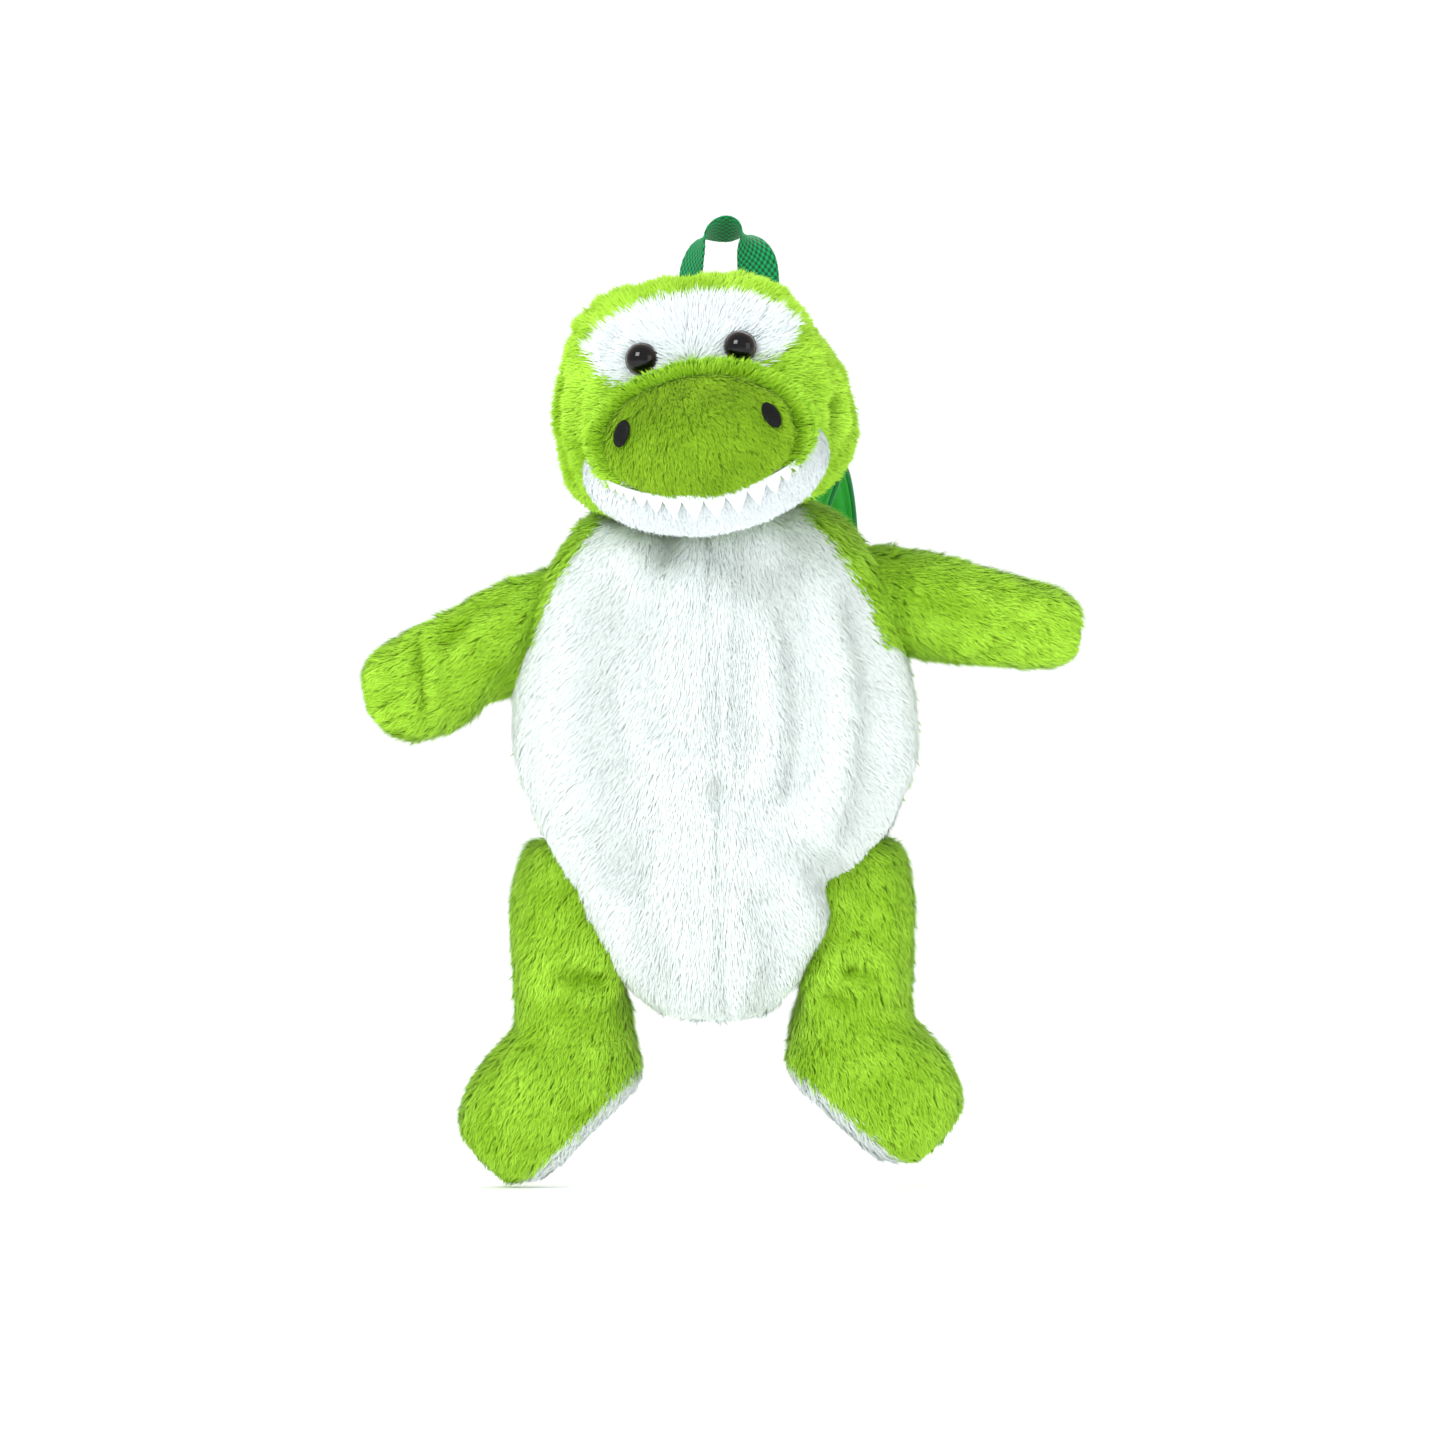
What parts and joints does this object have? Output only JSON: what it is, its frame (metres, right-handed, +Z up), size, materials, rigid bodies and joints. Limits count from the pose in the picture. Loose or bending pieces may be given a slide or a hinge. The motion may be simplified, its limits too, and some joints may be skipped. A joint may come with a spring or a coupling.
{
  "type": "plush dinosaur backpack",
  "caption": "Soft plush dinosaur backpack with a hollow zipped body, stuffed head and limbs, a grab loop and two padded shoulder straps.",
  "frame": {"origin": "inside of the grab loop at its highest point, from which the toy hangs", "axes": "+Z up; the face looks along -Y; +X is the toy's own left"},
  "size_m": [0.3757, 0.2159, 0.5024],
  "materials": {
    "lime_plush": "long-pile polyester plush",
    "lime_short_plush": "short dense polyester plush",
    "white_plush": "long-pile polyester plush",
    "white_felt": "stiff pressed felt",
    "black_embroidery": "satin-stitched black thread",
    "polyester_stuffing": "loose polyester fibre",
    "black_eye": "polished acrylic dome",
    "white_washer": "moulded polyethylene",
    "lining_cloth": "thin woven polyester",
    "green_webbing": "coarse woven polypropylene webbing",
    "zip_tape": "woven polyester tape",
    "zip_coil": "nylon coil",
    "green_satin": "padded satin",
    "green_plastic": "moulded acetal",
    "nickel": "nickel-plated zinc"
  },
  "bodies": {
    "head": {"face_panel": "lime_plush", "head_back_panel": "lime_plush", "brow_patch": "white_plush", "head_stuffing": "polyester_stuffing", "eye_left": "black_eye", "eye_right": "black_eye", "eye_washer_left": "white_washer", "eye_washer_right": "white_washer", "muzzle_rim": "lime_plush", "muzzle_pad": "lime_short_plush", "muzzle_stuffing": "polyester_stuffing", "nostril_left": "black_embroidery", "nostril_right": "black_embroidery", "jaw_panel": "white_plush", "jaw_stuffing": "polyester_stuffing", "upper_teeth": "white_felt", "grab_loop": "green_webbing"},
    "bag": {"belly_panel_left": "white_plush", "belly_panel_right": "white_plush", "back_yoke": "lime_plush", "back_panel": "lime_plush", "lining": "lining_cloth", "zip_tape_upper": "zip_tape", "zip_tape_lower": "zip_tape", "zip_teeth_upper": "zip_coil", "zip_teeth_lower": "zip_coil", "zip_stop_left": "nickel", "zip_stop_right": "nickel", "shoulder_strap_left": "green_satin", "shoulder_strap_right": "green_satin", "strap_webbing_left": "green_webbing", "strap_webbing_right": "green_webbing", "strap_tab_left": "green_webbing", "strap_tab_right": "green_webbing"},
    "arm_left": {"arm_cover_left": "lime_plush", "arm_stuffing_left": "polyester_stuffing"},
    "leg_left": {"leg_cover_left": "lime_plush", "leg_stuffing_left": "polyester_stuffing", "sole_left": "white_plush"},
    "strap_slider_left": {"strap_slider_left": "green_plastic"},
    "arm_right": {"arm_cover_right": "lime_plush", "arm_stuffing_right": "polyester_stuffing"},
    "leg_right": {"leg_cover_right": "lime_plush", "leg_stuffing_right": "polyester_stuffing", "sole_right": "white_plush"},
    "strap_slider_right": {"strap_slider_right": "green_plastic"},
    "zip_slider": {"zip_slider": "nickel"},
    "zip_pull": {"zip_pull": "nickel"}
  },
  "joints": [
    {"name": "neck", "type": "hinge", "parent": "head", "child": "bag", "pos_m": [-0.011, 0.002, -0.15], "axis": [1, 0, 0], "range_deg": [-6, 8]},
    {"name": "shoulder_left", "type": "hinge", "parent": "bag", "child": "arm_left", "pos_m": [0.081, -0.004, -0.198], "axis": [0, -1, 0], "range_deg": [-20, 20]},
    {"name": "shoulder_right", "type": "hinge", "parent": "bag", "child": "arm_right", "pos_m": [-0.099, -0.004, -0.211], "axis": [0, 1, 0], "range_deg": [-20, 20]},
    {"name": "hip_left", "type": "hinge", "parent": "bag", "child": "leg_left", "pos_m": [0.072, 0.006, -0.33], "axis": [-1, 0, 0], "range_deg": [-8, 22]},
    {"name": "hip_right", "type": "hinge", "parent": "bag", "child": "leg_right", "pos_m": [-0.095, 0.006, -0.33], "axis": [-1, 0, 0], "range_deg": [-8, 22]},
    {"name": "zip_travel", "type": "slide", "parent": "bag", "child": "zip_slider", "axis": [1, 0, 0], "range_m": [0, 0.084]},
    {"name": "zip_pull_flip", "type": "hinge", "parent": "zip_slider", "child": "zip_pull", "pos_m": [-0.053, 0.02542, -0.1581], "axis": [0, 0.6428, -0.766], "range_deg": [0, 150]},
    {"name": "strap_adjust_left", "type": "slide", "parent": "bag", "child": "strap_slider_left", "axis": [0, -0.3141, -0.9494], "range_m": [-0.012, 0.02]},
    {"name": "strap_adjust_right", "type": "slide", "parent": "bag", "child": "strap_slider_right", "axis": [0, -0.3141, -0.9494], "range_m": [-0.012, 0.02]}
  ]
}
